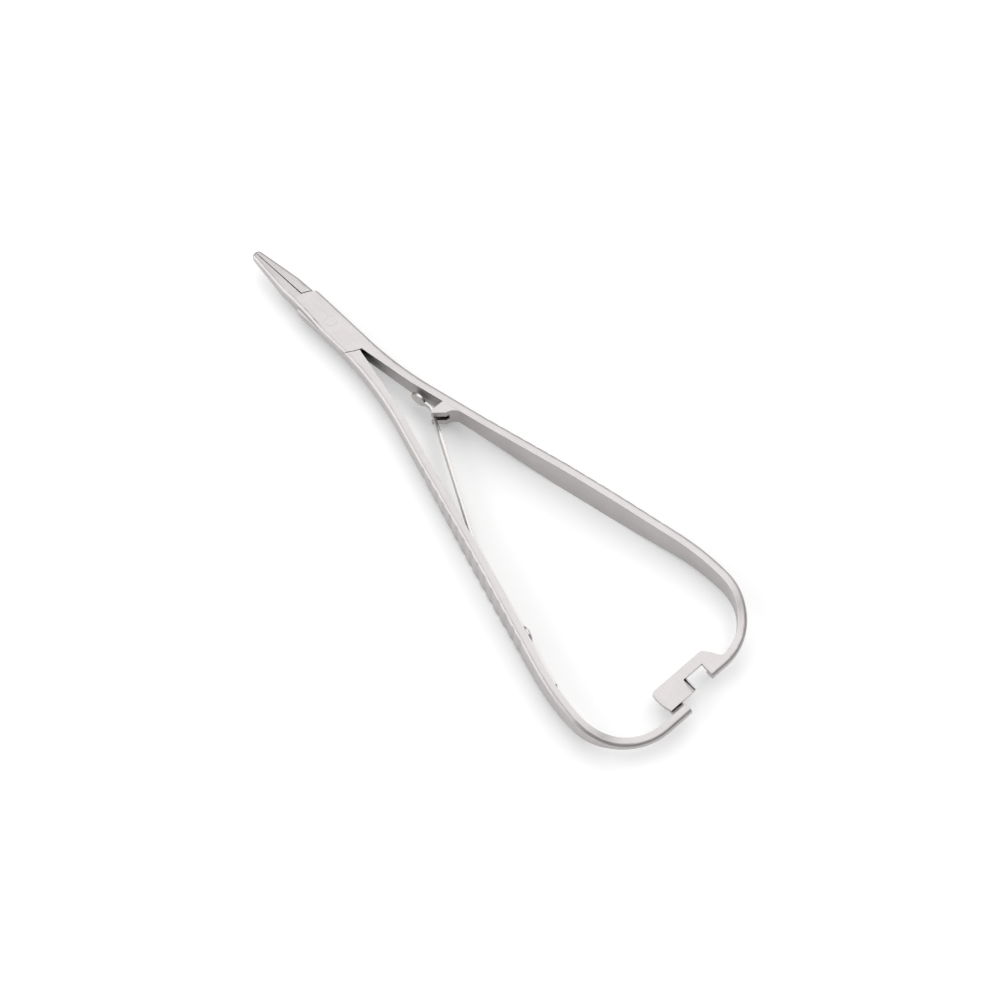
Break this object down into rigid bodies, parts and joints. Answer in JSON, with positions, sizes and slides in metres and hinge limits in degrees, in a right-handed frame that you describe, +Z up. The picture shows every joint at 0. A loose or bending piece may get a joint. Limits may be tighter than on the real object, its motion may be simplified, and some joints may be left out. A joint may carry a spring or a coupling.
{
  "type": "surgical needle holder",
  "caption": "Bow-handled needle holder in satin steel with a box lock joint, serrated jaws, a leaf spring between the handles and an end ratchet.",
  "frame": {"origin": "centre of the bounding box's underside, with the instrument lying flat and shut", "axes": "+X from the ratchet end to the jaw tips, +Y towards the handle that carries the leaf spring, +Z up out of the plane of the handles"},
  "size_m": [0.17, 0.0548, 0.0107],
  "materials": {
    "instrument_steel": "satin, fine blasted",
    "spring_steel": "fine brushed",
    "screw_steel": "turned, satin"
  },
  "bodies": {
    "box_side": {"box_half": "instrument_steel", "joint_pin": "instrument_steel"},
    "cross_side": {"cross_half": "instrument_steel", "leaf_spring": "spring_steel", "spring_screw": "screw_steel"}
  },
  "joints": [
    {"name": "box_lock", "type": "hinge", "parent": "box_side", "child": "cross_side", "pos_m": [0.05453, 0.00023, 0.00535], "axis": [0, 0, -1], "range_deg": [0, 9], "deforming": ["leaf_spring"]}
  ]
}
